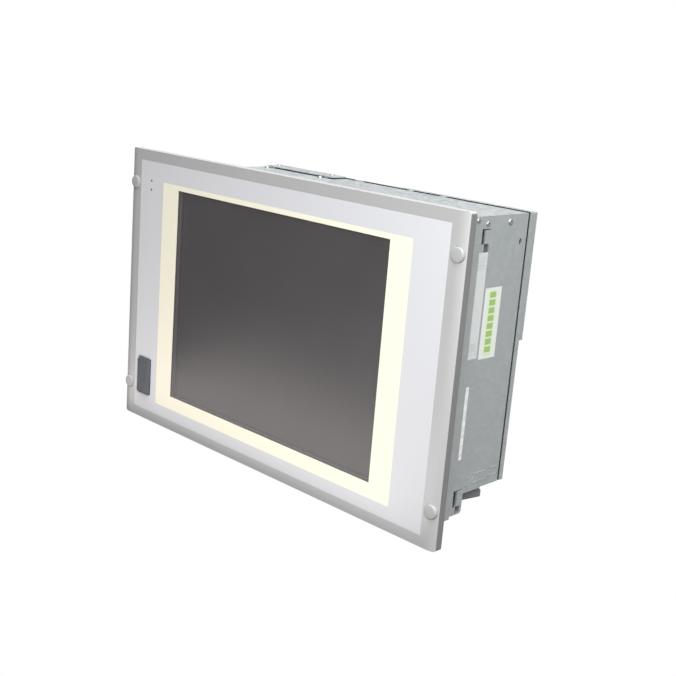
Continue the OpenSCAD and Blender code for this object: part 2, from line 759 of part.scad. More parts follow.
module disk_tray() {
    color([0.75, 0.77, 0.78]) union() {
        box(98, 192, 113.6, 115, 28, 140);
        for (x = [98, 190.6]) box(x, x + 1.4, 115, cover_rear - sheet, 28, 140);
    }
}

module disk_dampers() {
    color([0.15, 0.15, 0.15]) for (x = [118, 172], z = [44, 124]) bar_y(x, z, 115, 117, 5);
}

// ---- labels ----

module type_label() {
    color([0.93, 0.93, 0.92]) box(house_x, house_x + 0.15, 47.5, 60.5, 11, 111);
}

module service_sticker() {
    color([0.9, 0.93, 0.88]) box(house_x, house_x + 0.15, 63.5, 88, 9, 77);
}

module strip_label() {
    color([0.9, 0.91, 0.9]) box(house_x, house_x + 0.15, 50, 54.5, -88, -16);
}

front_plate();
front_foil();
touch_glass();
screen_gasket();
lcd_bezel();
lcd_panel();
screen_carrier();
backlight_inverter();
touch_controller();
panel_seal();
rack_hole_caps();
led_lenses();
led_board();
usb_bezel();
front_usb_socket();
usb_hinge_pin();
usb_cover();
usb_cover_seal();
front_housing();
clamp_tabs();
housing_screws();
computer_housing();
slot_cover();
top_screws();
side_screws();
rear_cover();
bay_cover();
cover_latches();
rear_cover_screws();
cover_gasket();
mainboard();
processor_heatsink();
fan_frame();
fan_rotor();
memory_module();
backup_battery();
riser_board();
slot_plates();
io_plate();
display_port();
network_jacks();
serial_port();
usb_stacks();
reset_button();
power_supply();
power_inlet();
inlet_pins();
switch_frame();
power_rocker();
earth_stud();
hard_disk();
disk_tray();
disk_dampers();
type_label();
service_sticker();
strip_label();
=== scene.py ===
"""Looks of the rack-format operator panel: its materials, fine mesh pieces, light and camera."""
import json
import math

import bmesh
import bpy
from mathutils import Matrix, Vector


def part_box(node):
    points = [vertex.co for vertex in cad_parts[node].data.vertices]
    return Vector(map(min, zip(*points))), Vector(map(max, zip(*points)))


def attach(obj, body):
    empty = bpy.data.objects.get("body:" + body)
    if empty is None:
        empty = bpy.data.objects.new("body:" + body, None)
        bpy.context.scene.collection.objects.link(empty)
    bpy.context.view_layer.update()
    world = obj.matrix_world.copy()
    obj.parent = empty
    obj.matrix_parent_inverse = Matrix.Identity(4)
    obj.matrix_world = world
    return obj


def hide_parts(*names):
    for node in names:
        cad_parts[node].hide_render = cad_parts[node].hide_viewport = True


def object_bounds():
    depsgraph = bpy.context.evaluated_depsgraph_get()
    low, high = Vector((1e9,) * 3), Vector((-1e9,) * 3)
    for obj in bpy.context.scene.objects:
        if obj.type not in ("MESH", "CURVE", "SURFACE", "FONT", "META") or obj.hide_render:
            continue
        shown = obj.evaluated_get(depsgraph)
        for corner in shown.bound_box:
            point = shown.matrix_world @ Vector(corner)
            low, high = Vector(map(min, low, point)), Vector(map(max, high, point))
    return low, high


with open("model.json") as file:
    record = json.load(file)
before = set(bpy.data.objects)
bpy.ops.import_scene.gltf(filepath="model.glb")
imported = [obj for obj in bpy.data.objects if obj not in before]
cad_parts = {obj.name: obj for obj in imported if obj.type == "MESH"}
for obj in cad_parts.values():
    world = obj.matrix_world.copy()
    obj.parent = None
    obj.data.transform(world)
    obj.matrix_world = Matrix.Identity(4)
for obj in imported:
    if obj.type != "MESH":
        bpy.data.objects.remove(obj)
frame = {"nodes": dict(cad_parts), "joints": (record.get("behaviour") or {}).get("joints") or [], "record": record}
nodes = frame["nodes"]
joints = {joint["name"]: joint for joint in frame["joints"]}
cad_low, cad_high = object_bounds()

MM = 0.001

# room light: where it is brightest, how far round it fades, and its strengths
ROOM_LIGHT_FROM = (0.62, -0.08, 0.78)
ROOM_FADE = (-0.8, 0.95)
ROOM_DARK = 0.1
ROOM_BRIGHT = 0.85

# floor patch, in metres, and the lamps' powers
FLOOR_X = (-0.36, 0.2)
FLOOR_Y = (-0.27, -0.035)
WARM_WHITE = (1.08, 0.97, 0.96)
KEY_POWER = 7.2
SUN_POWER = 3.9
REAR_POWER = 3.2
UNDER_POWER = 4.0

# camera: lens and sensor in millimetres, place in metres, angles in degrees
SENSOR_WIDTH = 36
LENS = 59.23
CAMERA_PLACE = (0.80826, -0.75053, 0.27496)
CAMERA_TURN = 43.707
CAMERA_TILT = 75.667
CAMERA_ROLL = 4.584

# printed areas, and where painted shade darkens the plate's end faces, in millimetres
PAINTED_END_SHADE_FROM = 240.9
BEYOND_PLATE = 260
CREAM_HALF_WIDTH = 182
CREAM_Z = (-130.9, 122.8)
RULED_Z = ((95, 109.5), (14, 26))
BLOCK_PITCH = 7.5
BLOCK_SHARE = 0.76
BLOCK_Y = (71, 80)
BLOCK_Z = (13, 73)
BLOCK_MARGIN_Y = 2
BLOCK_MARGIN_Z = 1.5

FOIL_GREY = (0.60, 0.608, 0.63)
CREAM = (0.84, 0.81, 0.665)
PLATE_GREY = (0.54, 0.543, 0.545)
ZINC = (0.51, 0.545, 0.55)
SCREEN_DARK = (0.075, 0.07, 0.072)
SCREEN_PALE = (0.1, 0.094, 0.096)


# ---------------------------------------------------------------- materials

class Finish:
    """A material built with short calls; its textures read the part's own coordinates, in metres."""

    def __init__(self, name, roughness=0.5, metallic=0.0, specular=0.5, alpha=1.0):
        self.material = bpy.data.materials.new(name)
        self.material.use_nodes = True
        self.tree = self.material.node_tree
        self.shader = self.tree.nodes["Principled BSDF"]
        self.shader.inputs["Roughness"].default_value = roughness
        self.shader.inputs["Metallic"].default_value = metallic
        self.shader.inputs["Specular IOR Level"].default_value = specular
        self.shader.inputs["Alpha"].default_value = alpha
        self.place = self.add("ShaderNodeTexCoord").outputs["Object"]

    def add(self, kind, **settings):
        """Adds a node and sets its own properties."""
        node = self.tree.nodes.new(kind)
        for key, value in settings.items():
            setattr(node, key, value)
        return node

    def feed(self, socket, value):
        """Links an output to an input, or sets the input's own value."""
        if isinstance(value, bpy.types.NodeSocket):
            self.tree.links.new(value, socket)
        else:
            socket.default_value = value

    def stretched(self, x, y, z):
        """The part's coordinates scaled by a factor along each axis."""
        node = self.add("ShaderNodeMapping")
        self.feed(node.inputs["Vector"], self.place)
        node.inputs["Scale"].default_value = (x, y, z)
        return node.outputs["Vector"]

    def noise(self, scale, detail=3.0, vector=None):
        """Soft random pattern; scale is in cycles per metre."""
        node = self.add("ShaderNodeTexNoise")
        self.feed(node.inputs["Vector"], vector or self.place)
        node.inputs["Scale"].default_value = scale
        node.inputs["Detail"].default_value = detail
        return node.outputs["Fac"]

    def cells(self, scale, output="Color"):
        """Pattern of random cells."""
        node = self.add("ShaderNodeTexVoronoi")
        self.feed(node.inputs["Vector"], self.place)
        node.inputs["Scale"].default_value = scale
        return node.outputs[output]

    def math(self, operation, a, b=0.0):
        node = self.add("ShaderNodeMath", operation=operation)
        self.feed(node.inputs[0], a)
        self.feed(node.inputs[1], b)
        return node.outputs[0]

    def spread(self, value, low, high):
        """Maps the middle half of a 0 to 1 pattern onto low to high."""
        node = self.add("ShaderNodeMapRange")
        self.feed(node.inputs["Value"], value)
        node.inputs["From Min"].default_value = 0.25
        node.inputs["From Max"].default_value = 0.75
        node.inputs["To Min"].default_value = low
        node.inputs["To Max"].default_value = high
        return node.outputs["Result"]

    def blend(self, factor, a, b):
        """Colour a where the factor is 0, colour b where it is 1."""
        node = self.add("ShaderNodeMix", data_type="RGBA")
        self.feed(node.inputs["Factor"], factor)
        self.feed(node.inputs["A"], a if isinstance(a, bpy.types.NodeSocket) else (*a, 1))
        self.feed(node.inputs["B"], b if isinstance(b, bpy.types.NodeSocket) else (*b, 1))
        return node.outputs["Result"]

    def axis(self, letter):
        """The part's coordinate along X, Y or Z."""
        node = self.add("ShaderNodeSeparateXYZ")
        self.feed(node.inputs["Vector"], self.place)
        return node.outputs[letter]

    def within(self, letter, low, high):
        """1 where the coordinate lies between low and high, given in millimetres."""
        above = self.math("GREATER_THAN", self.axis(letter), low * MM)
        below = self.math("LESS_THAN", self.axis(letter), high * MM)
        return self.both(above, below)

    def both(self, a, b):
        """1 where both masks are 1."""
        return self.math("MULTIPLY", a, b)

    def colour(self, value):
        self.feed(self.shader.inputs["Base Color"], value)
        return self

    def roughness(self, value):
        self.feed(self.shader.inputs["Roughness"], value)
        return self

    def bump(self, height, strength, distance):
        node = self.add("ShaderNodeBump")
        node.inputs["Strength"].default_value = strength
        node.inputs["Distance"].default_value = distance
        self.feed(node.inputs["Height"], height)
        self.tree.links.new(node.outputs["Normal"], self.shader.inputs["Normal"])
        return self


def tint(colour, factor):
    """A colour made darker or lighter, kept within 1."""
    return tuple(min(1.0, c * factor) for c in colour)


def anodised(name, colour):
    """Satin anodised aluminium: fine blasted grain, faint handling marks, and painted shade darkening the plate's
    end faces.
    """
    f = Finish(name, metallic=0.3)
    grain = f.noise(2600, 2)
    cloud = f.noise(14, 4)
    fine = f.blend(f.spread(grain, 0, 1), tint(colour, 0.94), tint(colour, 1.05))
    face = f.blend(f.spread(cloud, 0.0, 0.25), fine, tint(colour, 0.9))
    # painted shade: both end faces of the plate, beyond the end limit on each side, are darkened to 0.42 of its
    # colour
    painted_end_shade = f.math("ADD", f.within("X", PAINTED_END_SHADE_FROM, BEYOND_PLATE),
                  f.within("X", -BEYOND_PLATE, -PAINTED_END_SHADE_FROM))
    f.colour(f.blend(painted_end_shade, face, tint(colour, 0.42)))
    f.roughness(f.spread(cloud, 0.40, 0.52))
    return f.bump(grain, 0.25, 0.00006).material


def galvanised(name, colour, contrast=0.06):
    """Zinc-coated sheet: soft spangle, rolling streaks and a little handling grime."""
    f = Finish(name, metallic=0.55)
    spangle = f.cells(230)
    grey = f.add("ShaderNodeRGBToBW")
    f.feed(grey.inputs["Color"], spangle)
    streak = f.noise(60, 3, f.stretched(1, 1, 14))
    cloud = f.noise(16, 5)
    base = f.blend(grey.outputs["Val"], tint(colour, 1 - contrast), tint(colour, 1 + contrast))
    base = f.blend(f.spread(streak, 0, 0.3), base, tint(colour, 0.86))
    base = f.blend(f.spread(f.noise(11, 2), 0, 0.4), base, (0.50, 0.515, 0.55))
    base = f.blend(f.spread(cloud, 0, 0.25), base, (0.44, 0.475, 0.455))
    f.colour(base)
    sheen = f.math("ADD", f.math("MULTIPLY", grey.outputs["Val"], 0.6),
                   f.math("MULTIPLY", cloud, 0.4))
    f.roughness(f.spread(sheen, 0.36, 0.52))
    return f.bump(streak, 0.12, 0.00008).material


def bare_metal(name, colour, roughness=0.34, metallic=0.85, grain=(1, 1, 12)):
    """Plain or plated metal with a drawn grain along one axis."""
    f = Finish(name, metallic=metallic)
    drawn = f.noise(900, 2, f.stretched(*grain))
    cloud = f.noise(90, 3)
    f.colour(f.blend(f.spread(drawn, 0, 1), tint(colour, 0.86), tint(colour, 1.06)))
    f.roughness(f.spread(cloud, roughness - 0.07, roughness + 0.12))
    return f.bump(drawn, 0.15, 0.00004).material


def moulded(name, colour, roughness=0.5, grain=1500, depth=0.00006, specular=0.5):
    """Moulded plastic or rubber: fine spark-eroded grain and slight sheen changes."""
    f = Finish(name, roughness=roughness, specular=specular)
    spots = f.noise(grain, 2)
    cloud = f.noise(55, 4)
    base = f.blend(f.spread(spots, 0, 1), tint(colour, 0.88), tint(colour, 1.12))
    f.colour(f.blend(f.spread(cloud, 0, 0.3), base, tint(colour, 0.82)))
    f.roughness(f.spread(cloud, roughness - 0.06, roughness + 0.1))
    return f.bump(spots, 0.4, depth).material


def front_film():
    """Matt polyester foil: blue-grey field with a cream field printed round the screen."""
    f = Finish("front_film", specular=0.35)
    texture = f.noise(3200, 2)
    cloud = f.noise(9, 3)
    grey = f.blend(f.spread(texture, 0, 1), FOIL_GREY, tint(FOIL_GREY, 1.05))
    cream = f.blend(f.spread(texture, 0, 1), CREAM, tint(CREAM, 1.03))
    field = f.both(f.within("X", -CREAM_HALF_WIDTH, CREAM_HALF_WIDTH), f.within("Z", *CREAM_Z))
    f.colour(f.blend(field, grey, cream))
    f.roughness(f.spread(cloud, 0.46, 0.58))
    return f.bump(texture, 0.25, 0.00004).material


def touch_film():
    """Anti-glare top film of the touch glass: hazy, mostly see-through."""
    f = Finish("touch_film", roughness=0.34, specular=0.6, alpha=0.45)
    f.shader.inputs["IOR"].default_value = 2.15
    haze = f.noise(5200, 1)
    smear = f.noise(11, 4)
    f.colour(f.blend(f.spread(smear, 0, 1), (0.085, 0.08, 0.082), SCREEN_PALE))
    f.roughness(f.spread(smear, 0.31, 0.38))
    f.bump(haze, 0.3, 0.00003)
    f.material.surface_render_method = "BLENDED"
    return f.material


def dark_display():
    """Switched-off display: near black with the faint pitch of the pixel rows."""
    f = Finish("dark_display", roughness=0.34, specular=0.6)
    f.shader.inputs["IOR"].default_value = 2.15
    rows = f.add("ShaderNodeTexWave", bands_direction="Z")
    f.feed(rows.inputs["Vector"], f.place)
    rows.inputs["Scale"].default_value = 530
    cloud = f.noise(6, 3)
    base = f.blend(rows.outputs["Fac"], SCREEN_DARK, SCREEN_PALE)
    f.colour(f.blend(f.spread(cloud, 0, 0.3), base, (0.09, 0.084, 0.086)))
    return f.material


def circuit():
    """Green solder mask with copper runs, pads and vias."""
    f = Finish("circuit", roughness=0.35)
    runs = f.add("ShaderNodeTexBrick", offset=0.37)
    f.feed(runs.inputs["Vector"], f.place)
    runs.inputs["Scale"].default_value = 120
    runs.inputs["Mortar Size"].default_value = 0.04
    runs.inputs["Color1"].default_value = (0.012, 0.10, 0.05, 1)
    runs.inputs["Color2"].default_value = (0.015, 0.13, 0.065, 1)
    runs.inputs["Mortar"].default_value = (0.03, 0.22, 0.11, 1)
    vias = f.math("LESS_THAN", f.cells(420, "Distance"), 0.12)
    f.colour(f.blend(vias, runs.outputs["Color"], (0.55, 0.5, 0.3)))
    return f.bump(runs.outputs["Fac"], 0.3, 0.00005).material


def ruled_label():
    """White film with two areas ruled into blank boxes, and no lettering."""
    f = Finish("ruled_label", specular=0.4)
    rows = f.add("ShaderNodeTexBrick", offset=0.0)
    turned = f.add("ShaderNodeCombineXYZ")
    f.feed(turned.inputs["X"], f.axis("Y"))
    f.feed(turned.inputs["Y"], f.axis("Z"))
    f.feed(rows.inputs["Vector"], turned.outputs["Vector"])
    rows.inputs["Scale"].default_value = 30
    rows.inputs["Brick Width"].default_value = 0.13
    rows.inputs["Row Height"].default_value = 0.11
    rows.inputs["Mortar Size"].default_value = 0.006
    rows.inputs["Color1"].default_value = (0.64, 0.66, 0.655, 1)
    rows.inputs["Color2"].default_value = (0.58, 0.60, 0.595, 1)
    rows.inputs["Mortar"].default_value = (0.5, 0.52, 0.52, 1)
    plain = f.blend(f.spread(f.noise(700, 2), 0, 1), (0.60, 0.62, 0.615), (0.65, 0.67, 0.665))
    upper, lower = RULED_Z
    ruled = f.math("ADD", f.within("Z", *upper), f.within("Z", *lower))
    f.colour(f.blend(ruled, plain, rows.outputs["Color"]))
    f.roughness(f.spread(f.noise(60, 3), 0.38, 0.5))
    return f.bump(f.noise(900, 2), 0.15, 0.00003).material


def striped_sticker():
    """Pale sticker with a row of plain green blocks down its middle."""
    f = Finish("striped_sticker", specular=0.4)
    paper = f.blend(f.spread(f.noise(600, 2), 0, 1), (0.68, 0.73, 0.67), (0.73, 0.77, 0.72))
    row = f.math("FRACT", f.math("MULTIPLY", f.axis("Z"), 1 / (BLOCK_PITCH * MM)))
    block = f.math("LESS_THAN", row, BLOCK_SHARE)
    bar = f.both(block, f.both(f.within("Y", *BLOCK_Y), f.within("Z", *BLOCK_Z)))
    glow = f.both(f.within("Y", BLOCK_Y[0] - BLOCK_MARGIN_Y, BLOCK_Y[1] + BLOCK_MARGIN_Y),
                  f.within("Z", BLOCK_Z[0] - BLOCK_MARGIN_Z, BLOCK_Z[1] + BLOCK_MARGIN_Z))
    ink = f.blend(f.spread(f.noise(420, 3), 0, 1), (0.30, 0.46, 0.13), (0.36, 0.54, 0.17))
    paper = f.blend(glow, paper, (0.64, 0.74, 0.56))
    f.colour(f.blend(bar, paper, ink))
    f.roughness(f.spread(f.noise(50, 3), 0.4, 0.52))
    return f.bump(f.noise(800, 2), 0.15, 0.00003).material


def strip_film():
    """Narrow white strip with pale cross bars."""
    f = Finish("strip_film", specular=0.4)
    bars = f.noise(240, 0, f.stretched(0.02, 0.02, 1))
    f.colour(f.blend(f.spread(bars, 0, 1), (0.84, 0.85, 0.84), (0.66, 0.68, 0.68)))
    f.roughness(f.spread(f.noise(60, 3), 0.4, 0.5))
    return f.bump(f.noise(800, 2), 0.15, 0.00003).material


FINISHES = {
    "plate_aluminium": anodised("plate_aluminium", PLATE_GREY),
    "front_foil": front_film(),
    "touch_glass": touch_film(),
    "black_foam": moulded("black_foam", (0.03, 0.03, 0.03), 0.85, 900, 0.0002, 0.2),
    "bezel_steel": bare_metal("bezel_steel", (0.10, 0.095, 0.09), 0.45, 0.4),
    "lcd": dark_display(),
    "galvanised_steel": galvanised("galvanised_steel", ZINC),
    "circuit_board": circuit(),
    "seal_rubber": moulded("seal_rubber", (0.028, 0.028, 0.03), 0.7, 1200, 0.0001, 0.3),
    "cap_plastic": moulded("cap_plastic", (0.40, 0.403, 0.405), 0.42, 1800, 0.00004),
    "led_lens": moulded("led_lens", (0.14, 0.15, 0.14), 0.25, 2000, 0.00002, 0.6),
    "port_plastic": moulded("port_plastic", (0.078, 0.086, 0.097), 0.46, 1600, 0.00008),
    "connector_shell": bare_metal("connector_shell", (0.62, 0.63, 0.64), 0.32),
    "screw_steel": bare_metal("screw_steel", (0.5, 0.5, 0.49), 0.3, 0.9, (1, 1, 1)),
    "heatsink_aluminium": bare_metal("heatsink_aluminium", (0.66, 0.67, 0.68), 0.36),
    "black_plastic": moulded("black_plastic", (0.025, 0.025, 0.028), 0.45),
    "port_insert": moulded("port_insert", (0.66, 0.66, 0.63), 0.4),
    "red_plastic": moulded("red_plastic", (0.42, 0.035, 0.03), 0.35),
    "supply_case": bare_metal("supply_case", (0.56, 0.58, 0.59), 0.4, 0.7),
    "inlet_plastic": moulded("inlet_plastic", (0.145, 0.147, 0.16), 0.45),
    "stud_brass": bare_metal("stud_brass", (0.62, 0.52, 0.28), 0.3, 0.9, (1, 1, 1)),
    "drive_case": bare_metal("drive_case", (0.42, 0.43, 0.44), 0.4, 0.8),
    "label_film": ruled_label(),
}
OWN_FINISH = {"service_sticker": striped_sticker(), "strip_label": strip_film()}
GOLD = bare_metal("contact_gold", (0.75, 0.58, 0.24), 0.28, 0.95, (1, 1, 1))


def dress(obj, finish):
    """Gives a piece one finish in place of its own."""
    obj.data.materials.clear()
    obj.data.materials.append(finish)


# ---------------------------------------------------------------- mesh helpers

def soften(name, width):
    """Breaks a CAD node's sharp edges with a small bevel; its faces stay as they are."""
    obj = nodes[name]
    attributes = obj.data.attributes
    if "custom_normal" in attributes:
        attributes.remove(attributes["custom_normal"])
    for face in obj.data.polygons:
        face.use_smooth = True
    weld = obj.modifiers.new("weld", "WELD")
    weld.merge_threshold = 0.000002
    edge = obj.modifiers.new("edge", "BEVEL")
    edge.width = width * MM
    edge.segments = 2
    edge.limit_method = "ANGLE"
    edge.angle_limit = math.radians(35)
    edge.use_clamp_overlap = False
    normals = obj.modifiers.new("normals", "WEIGHTED_NORMAL")
    normals.weight = 90


def new_piece(name, mesh_data, finish, body, replaced=()):
    """Links a finished bmesh as a named piece on a body. Its coordinates are in millimetres."""
    mesh = bpy.data.meshes.new(name)
    bmesh.ops.recalc_face_normals(mesh_data, faces=mesh_data.faces)
    mesh_data.to_mesh(mesh)
    mesh_data.free()
    mesh.transform(Matrix.Scale(MM, 4))
    obj = bpy.data.objects.new(name, mesh)
    bpy.context.scene.collection.objects.link(obj)
    mesh.materials.append(finish)
    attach(obj, body)
    if replaced:
        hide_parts(*replaced)
    return obj


def smooth(obj, angle=35):
    """Smooth shading with edges sharper than the angle kept crisp."""
    for face in obj.data.polygons:
        face.use_smooth = True
    obj.data.set_sharp_from_angle(angle=math.radians(angle))


def add_box(bm, low, high, bevel=0.0):
    """Box between two corners, its edges broken by a bevel."""
    start = set(bm.verts)
    bmesh.ops.create_cube(bm, size=1)
    made = [v for v in bm.verts if v not in start]
    size = [b - a for a, b in zip(low, high)]
    middle = [(a + b) / 2 for a, b in zip(low, high)]
    for v in made:
        v.co = Vector([v.co[i] * size[i] + middle[i] for i in range(3)])
    if bevel:
        edges = {e for v in made for e in v.link_edges}
        bmesh.ops.bevel(bm, geom=list(edges), offset=bevel, segments=2, profile=0.5,
                        affect="EDGES")


def add_turned(bm, profile, centre, direction, steps=32):
    """Turned solid: profile is (radius, height) pairs from the middle outwards along direction."""
    turn = Vector(direction).to_track_quat("Z", "Y").to_matrix()
    rings = []
    for radius, height in profile:
        if radius < 1e-6:
            rings.append([bm.verts.new(Vector(centre) + turn @ Vector((0, 0, height)))])
            continue
        ring = []
        for i in range(steps):
            a = i * math.tau / steps
            spot = Vector((radius * math.cos(a), radius * math.sin(a), height))
            ring.append(bm.verts.new(Vector(centre) + turn @ spot))
        rings.append(ring)
    for a, b in zip(rings, rings[1:]):
        for i in range(steps):
            j = (i + 1) % steps
            corners = [a[i % len(a)], a[j % len(a)], b[j % len(b)], b[i % len(b)]]
            unique = list(dict.fromkeys(corners))
            if len(unique) > 2:
                bm.faces.new(unique)


def rounded_outline(x0, x1, z0, z1, radii, steps=5):
    """Corner-rounded rectangle as (x, z) points, counter-clockwise from the lower left."""
    corners = [(x0, z0, 1, 1), (x1, z0, -1, 1), (x1, z1, -1, -1), (x0, z1, 1, -1)]
    points = []
    for k, ((x, z, sx, sz), r) in enumerate(zip(corners, radii)):
        for i in range(steps + 1):
            a = math.radians(180 + 90 * k + 90 * i / steps)
            points.append((x + sx * r + r * math.cos(a), z + sz * r + r * math.sin(a)))
    return points


def add_layers(bm, layers):
    """Closed solid through outlines of equal point count, each given as (y, [(x, z), ...])."""
    loops = [[bm.verts.new((x, y, z)) for x, z in outline] for y, outline in layers]
    count = len(loops[0])
    for a, b in zip(loops, loops[1:]):
        for i in range(count):
            j = (i + 1) % count
            bm.faces.new((a[i], a[j], b[j], b[i]))
    bm.faces.new(loops[0])
    bm.faces.new(loops[-1])


def cut(obj, cutter_mesh):
    """Cuts a helper solid, in millimetres, out of a piece and keeps the result."""
    mesh = bpy.data.meshes.new("cutter")
    bmesh.ops.recalc_face_normals(cutter_mesh, faces=cutter_mesh.faces)
    cutter_mesh.to_mesh(mesh)
    cutter_mesh.free()
    mesh.transform(Matrix.Scale(MM, 4))
    cutter = bpy.data.objects.new("cutter", mesh)
    bpy.context.scene.collection.objects.link(cutter)
    trim = obj.modifiers.new("trim", "BOOLEAN")
    trim.object = cutter
    trim.operation = "DIFFERENCE"
    trim.solver = "EXACT"
    bpy.context.view_layer.update()
    result = bpy.data.meshes.new_from_object(
        obj.evaluated_get(bpy.context.evaluated_depsgraph_get()))
    obj.modifiers.remove(trim)
    obj.data = result
    bpy.data.objects.remove(cutter)


def corners_mm(node):
    """Lowest and highest corner of a CAD node, in millimetres."""
    low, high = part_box(node)
    return low / MM, high / MM


# ---------------------------------------------------------------- screws

def add_screw_head(bm, centre, direction, radius, height):
    """Low pan head with a rounded rim and a drive well with six lobes round its floor.

    The profiles are shares of the head's own radius and height."""
    well = radius * 0.46
    add_turned(bm, [
        (0, height * 0.1), (well * 0.72, height * 0.1), (well * 0.8, height * 0.9),
        (well, height * 0.97), (radius * 0.7, height), (radius * 0.9, height * 0.82),
        (radius, height * 0.5), (radius, 0), (0, 0),
    ], centre, direction, 24)
    turn = Vector(direction).to_track_quat("Z", "Y").to_matrix()
    out = well * 0.74
    for i in range(6):
        a = i * math.tau / 6
        spot = Vector(centre) + turn @ Vector((out * math.cos(a), out * math.sin(a), 0))
        add_turned(bm, [(0, height * 0.8), (well * 0.2, height * 0.76), (well * 0.24, height * 0.05),
                        (0, height * 0.05)], spot, direction, 8)


def islands(node):
    """Lowest and highest corners, in millimetres, of each separate solid of a CAD node."""
    bm = bmesh.new()
    bm.from_mesh(nodes[node].data)
    bmesh.ops.remove_doubles(bm, verts=bm.verts, dist=1e-6)
    left = set(bm.verts)
    found = []
    while left:
        stack = [left.pop()]
        group = list(stack)
        while stack:
            for edge in stack.pop().link_edges:
                for v in edge.verts:
                    if v in left:
                        left.remove(v)
                        stack.append(v)
                        group.append(v)
        low = [min(v.co[i] for v in group) / MM for i in range(3)]
        high = [max(v.co[i] for v in group) / MM for i in range(3)]
        found.append((Vector(low), Vector(high)))
    bm.free()
    return found


def build_screw_set(name, node, axis, seat_of):
    """Replaces a node of screws with detailed heads that face along an axis, 0 to 2 for X to Z.

    seat_of gives the height of the wall under a screw from the screw's highest corner."""
    direction = [0, 0, 0]
    direction[axis] = 1
    across = 2 if axis == 0 else 0
    bm = bmesh.new()
    for low, high in islands(node):
        centre = [(a + b) / 2 for a, b in zip(low, high)]
        centre[axis] = seat_of(high)
        radius = (high[across] - low[across]) / 2
        add_screw_head(bm, centre, direction, radius, high[axis] - centre[axis])
    smooth(new_piece(name, bm, FINISHES["screw_steel"], "panel", (node,)))


def build_screws():
    """Screw heads on the case's side, rear and top."""
    case = corners_mm("computer_housing")[1]
    rear = corners_mm("rear_cover")[1].y
    lid = corners_mm("slot_cover")[1].z
    build_screw_set("side_screw_heads", "side_screws", 0, lambda high: case.x)
    build_screw_set("rear_screw_heads", "rear_cover_screws", 1, lambda high: rear)
    build_screw_set("top_screw_heads", "top_screws", 2,
                    lambda high: case.z if high.z < case.z + 2 else lid)


# ---------------------------------------------------------------- front pieces

def build_caps():
    """Rack slot caps: flat discs with a rolled rim, seated below the plate's front face."""
    sunk = 1.9
    bm = bmesh.new()
    front_y = corners_mm("front_plate")[0].y
    for low, high in islands("rack_hole_caps"):
        centre = ((low.x + high.x) / 2, front_y, (low.z + high.z) / 2)
        radius = (high.x - low.x) / 2
        proud = front_y - low.y
        add_turned(bm, [
            (0, proud), (radius - 1.1, proud), (radius - 0.75, proud - 0.08),
            (radius - 0.4, proud - 0.35), (radius - 0.12, proud - 0.75), (radius, proud - 1.2),
            (radius, -sunk), (0, -sunk),
        ], centre, (0, -1, 0), 64)
    smooth(new_piece("rack_cap_heads", bm, FINISHES["cap_plastic"], "panel",
                     ("rack_hole_caps",)), 50)


def build_port_cover():
    """Hinged cover: bevelled front, rounded corners, notches and bore for its hinge."""
    low, high = corners_mm("usb_cover")
    pin = Vector(joints["port_cover_hinge"]["pos_m"]) / MM
    back, front = high.y, low.y + 0.8
    round_r = [1.6, 2.6, 2.6, 1.6]

    def inset(left, right, below, above):
        return rounded_outline(low.x + left, high.x - right, low.z + below, high.z - above, round_r)

    lip = inset(0, 0, 0, 0)
    bm = bmesh.new()
    add_layers(bm, [
        (back, inset(0.2, 0.2, 0.2, 0.2)),
        (back - 0.25, lip),
        (back - 0.75, lip),
        (front + 0.9, inset(0.5, 1.4, 1.1, 2.6)),
        (front + 0.3, inset(0.9, 2.1, 1.9, 3.7)),
        (front, inset(1.6, 2.9, 2.6, 4.6)),
    ])
    shell = new_piece("port_cover_shell", bm, FINISHES["port_plastic"], "port_cover",
                      ("usb_cover",))
    lug_from_middle = 17.5
    lug_half = 1.5
    gap = 0.4
    lug_reach = 2.1
    beyond = 2
    middle = (low.z + high.z) / 2
    reach = lug_half + gap
    notch = bmesh.new()
    for side in (-1, 1):
        z = middle + side * lug_from_middle
        add_box(notch, (low.x - beyond, low.y - beyond, z - reach),
                (pin.x + lug_reach, high.y + beyond, z + reach))
    cut(shell, notch)
    bore_r = 0.86
    bore_half = 30
    bore = bmesh.new()
    add_turned(bore, [(0, -bore_half), (bore_r, -bore_half), (bore_r, bore_half), (0, bore_half)],
               (pin.x, pin.y, middle), (0, 0, 1), 24)
    cut(shell, bore)
    smooth(shell, 40)
    build_finger_ridge((low.x + high.x) / 2, front, middle)


def build_finger_ridge(centre_x, front, middle):
    """Finger ridge of the cover, slanting down to the left, crowned along its length."""
    top_z, length = 10.4, 21.4
    top_shift, slant = 6.6, 3.6
    half_width, height = 1.1, 0.78
    steps, sides = 14, 8
    ridge = bmesh.new()
    rings = []
    for i in range(steps + 1):
        t = i / steps
        z = middle + top_z - length * t
        x = centre_x + top_shift - slant * t
        swell = math.sin(math.pi * min(1, max(0, 0.04 + 0.92 * t))) ** 0.5
        half = half_width * swell + 0.15
        rise = height * swell
        rings.append([ridge.verts.new((x + half * math.cos(a), front + 0.15 - rise * math.sin(a), z))
                      for a in (math.pi * k / sides for k in range(sides + 1))])
    for a, b in zip(rings, rings[1:]):
        for k in range(sides):
            ridge.faces.new((a[k], a[k + 1], b[k + 1], b[k]))
        ridge.faces.new((a[sides], a[0], b[0], b[sides]))
    ridge.faces.new(rings[0])
    ridge.faces.new(rings[-1])
    smooth(new_piece("port_cover_ridge", ridge, FINISHES["port_plastic"], "port_cover"), 60)


def build_display():
    """Dark active field of the display, just behind its steel bezel."""
    low, high = corners_mm("lcd_bezel")
    half_width, half_height = 151.95, 113.95
    thickness, sunk = 0.27, 0.02
    y = high.y + sunk
    middle = (low.z + high.z) / 2
    bm = bmesh.new()
    add_box(bm, (-half_width, y - thickness, middle - half_height),
            (half_width, y, middle + half_height))
    new_piece("display_polariser", bm, FINISHES["lcd"], "panel")


# ---------------------------------------------------------------- housings

